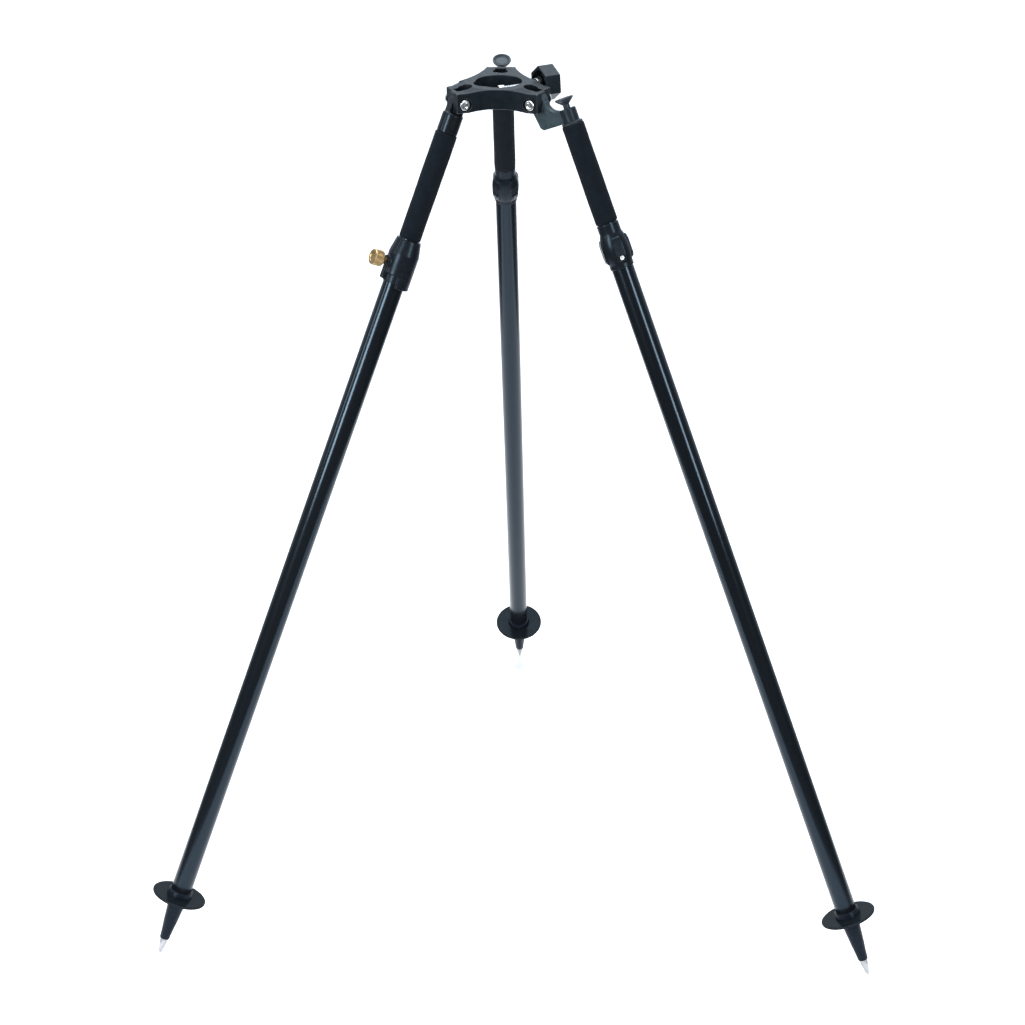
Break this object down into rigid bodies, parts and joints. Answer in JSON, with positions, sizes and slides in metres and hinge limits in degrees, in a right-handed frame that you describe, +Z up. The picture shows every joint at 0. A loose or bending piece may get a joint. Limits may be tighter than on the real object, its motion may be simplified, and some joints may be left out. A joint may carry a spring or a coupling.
{
  "type": "surveyor tripod",
  "caption": "Folding survey tripod with a ring head and side pole clamp, telescoping legs with foam grips, thumb release and thumbscrew locks, step plates and spiked feet.",
  "frame": {"origin": "on the ground, plumb under the axis of the ring head", "axes": "+Z up, +Y from the ring axis towards the rear leg, +X to the right when the rear leg is furthest away"},
  "size_m": [0.9597, 0.8729, 1.1394],
  "materials": {
    "head_casting": "cast, satin black paint",
    "hinge_steel": "bright stainless",
    "hinge_washer": "plain acetal",
    "clamp_steel": "bright",
    "insert_steel": "zinc plated",
    "knob_plastic": "satin moulded",
    "tube_black": "gloss black coating",
    "foam_grip": "matt foam",
    "foot_casting": "semi-gloss",
    "step_plate": "satin blue-grey",
    "spike_steel": "turned",
    "fitting_black": "gloss",
    "nylon_white": "natural",
    "lock_black": "satin moulded",
    "knurled_brass": "dull gold, knurled",
    "arm_grey": "satin grey paint",
    "neck_black": "satin dark grey paint",
    "button_metal": "semi-gloss grey anodised"
  },
  "bodies": {
    "head": {"head_ring": "head_casting", "pivot_bolts": "hinge_steel", "pivot_nuts": "hinge_steel", "pivot_washers": "hinge_washer"},
    "clamp_pad": {"clamp_pad": "clamp_steel"},
    "clamp_handle": {"clamp_screw": "clamp_steel", "clamp_insert": "insert_steel", "clamp_knob": "knob_plastic"},
    "left_upper_leg": {"left_fitting": "fitting_black", "left_inner_tube": "tube_black", "left_grip": "foam_grip", "left_guide_plug": "nylon_white"},
    "left_lower_leg": {"left_collar": "lock_black", "left_outer_tube": "tube_black", "left_foot": "foot_casting", "left_step_plate": "step_plate", "left_spike": "spike_steel"},
    "left_lock_shoe": {"left_shoe": "nylon_white"},
    "left_lock_screw": {"left_thumbscrew": "knurled_brass"},
    "right_upper_leg": {"right_arm": "arm_grey", "right_neck": "neck_black", "right_spring": "insert_steel", "right_brake_collet": "nylon_white", "right_inner_tube": "tube_black", "right_grip": "foam_grip"},
    "right_release": {"right_button": "button_metal", "right_push_rod": "insert_steel", "right_wedge": "knurled_brass"},
    "right_lower_leg": {"right_lock": "lock_black", "right_lock_screws": "hinge_steel", "right_outer_tube": "tube_black", "right_foot": "foot_casting", "right_step_plate": "step_plate", "right_spike": "spike_steel"},
    "rear_upper_leg": {"rear_arm": "arm_grey", "rear_neck": "neck_black", "rear_spring": "insert_steel", "rear_brake_collet": "nylon_white", "rear_inner_tube": "tube_black", "rear_grip": "foam_grip"},
    "rear_release": {"rear_button": "button_metal", "rear_push_rod": "insert_steel", "rear_wedge": "knurled_brass"},
    "rear_lower_leg": {"rear_lock": "lock_black", "rear_lock_screws": "hinge_steel", "rear_outer_tube": "tube_black", "rear_foot": "foot_casting", "rear_step_plate": "step_plate", "rear_spike": "spike_steel"}
  },
  "joints": [
    {"name": "left_leg_hinge", "type": "hinge", "parent": "head", "child": "left_upper_leg", "pos_m": [-0.04936, -0.0285, 1.11], "axis": [-0.5, 0.866, 0], "range_deg": [-23, 17]},
    {"name": "left_leg_extend", "type": "slide", "parent": "left_upper_leg", "child": "left_lower_leg", "axis": [-0.3384, -0.1954, -0.9205], "range_m": [0, 0.6]},
    {"name": "right_leg_hinge", "type": "hinge", "parent": "head", "child": "right_upper_leg", "pos_m": [0.04936, -0.0285, 1.11], "axis": [-0.5, -0.866, 0], "range_deg": [-23, 17]},
    {"name": "right_leg_extend", "type": "slide", "parent": "right_upper_leg", "child": "right_lower_leg", "axis": [0.3384, -0.1954, -0.9205], "range_m": [0, 0.6]},
    {"name": "rear_leg_hinge", "type": "hinge", "parent": "head", "child": "rear_upper_leg", "pos_m": [0, 0.057, 1.11], "axis": [1, 0, 0], "range_deg": [-23, 17]},
    {"name": "rear_leg_extend", "type": "slide", "parent": "rear_upper_leg", "child": "rear_lower_leg", "axis": [0, 0.3907, -0.9205], "range_m": [0, 0.6]},
    {"name": "left_lock_travel", "type": "slide", "parent": "left_lower_leg", "child": "left_lock_shoe", "axis": [-0.7972, -0.4603, 0.3907], "range_m": [0, 0.002]},
    {"name": "left_lock_turn", "type": "hinge", "parent": "left_lock_shoe", "child": "left_lock_screw", "pos_m": [-0.14934, -0.08622, 0.92761], "axis": [-0.7972, -0.4603, 0.3907], "range_deg": [-0.5, 720.5]},
    {"name": "right_button_press", "type": "slide", "parent": "right_upper_leg", "child": "right_release", "axis": [0.3384, -0.1954, -0.9205], "range_m": [0, 0.005], "stiffness_N_per_m": 900, "springref_m": -0.006, "deforming": ["right_spring"]},
    {"name": "rear_button_press", "type": "slide", "parent": "rear_upper_leg", "child": "rear_release", "axis": [0, 0.3907, -0.9205], "range_m": [0, 0.005], "stiffness_N_per_m": 900, "springref_m": -0.006, "deforming": ["rear_spring"]},
    {"name": "clamp_travel", "type": "slide", "parent": "head", "child": "clamp_pad", "axis": [0.866, 0.5, 0], "range_m": [-0.004, 0.02]},
    {"name": "clamp_turn", "type": "hinge", "parent": "clamp_pad", "child": "clamp_handle", "pos_m": [0.05716, 0.033, 1.117], "axis": [0.866, 0.5, 0], "range_deg": [-1153, 5761]}
  ],
  "couplings": [
    {"joint": "left_lock_turn", "follows": "left_lock_travel", "rad_per_m": 6283.2},
    {"joint": "clamp_turn", "follows": "clamp_travel", "rad_per_m": 5026.5}
  ]
}
